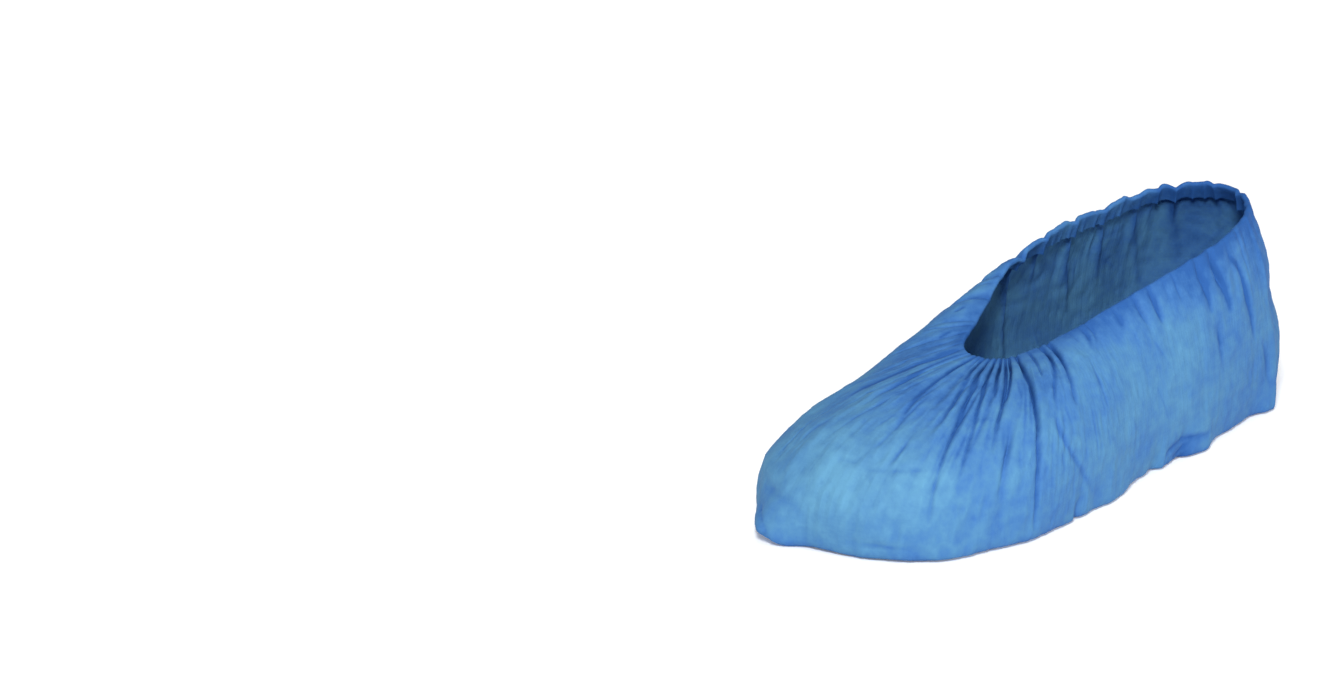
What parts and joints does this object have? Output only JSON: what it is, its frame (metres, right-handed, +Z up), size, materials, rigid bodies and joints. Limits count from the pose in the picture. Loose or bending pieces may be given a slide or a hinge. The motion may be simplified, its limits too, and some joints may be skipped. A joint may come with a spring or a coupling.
{
  "type": "disposable shoe cover",
  "caption": "Low slip-on shoe cover of thin blue nonwoven cloth: a hollow foot-shaped bag with a flat sole and an open mouth gathered by an elastic hem.",
  "frame": {"origin": "on the floor under the middle of the cover's box, at the underside of the sole", "axes": "+Z up, -Y towards the toe, +X towards the wearer's outer side of a left shoe"},
  "size_m": [0.1156, 0.312, 0.0947],
  "materials": {
    "nonwoven": "matt spunbond nonwoven with a faint embossed point pattern",
    "elastic": "matt pale elastic"
  },
  "bodies": {
    "root": {"cover_body": "nonwoven", "elastic_band": "elastic"}
  },
  "joints": []
}
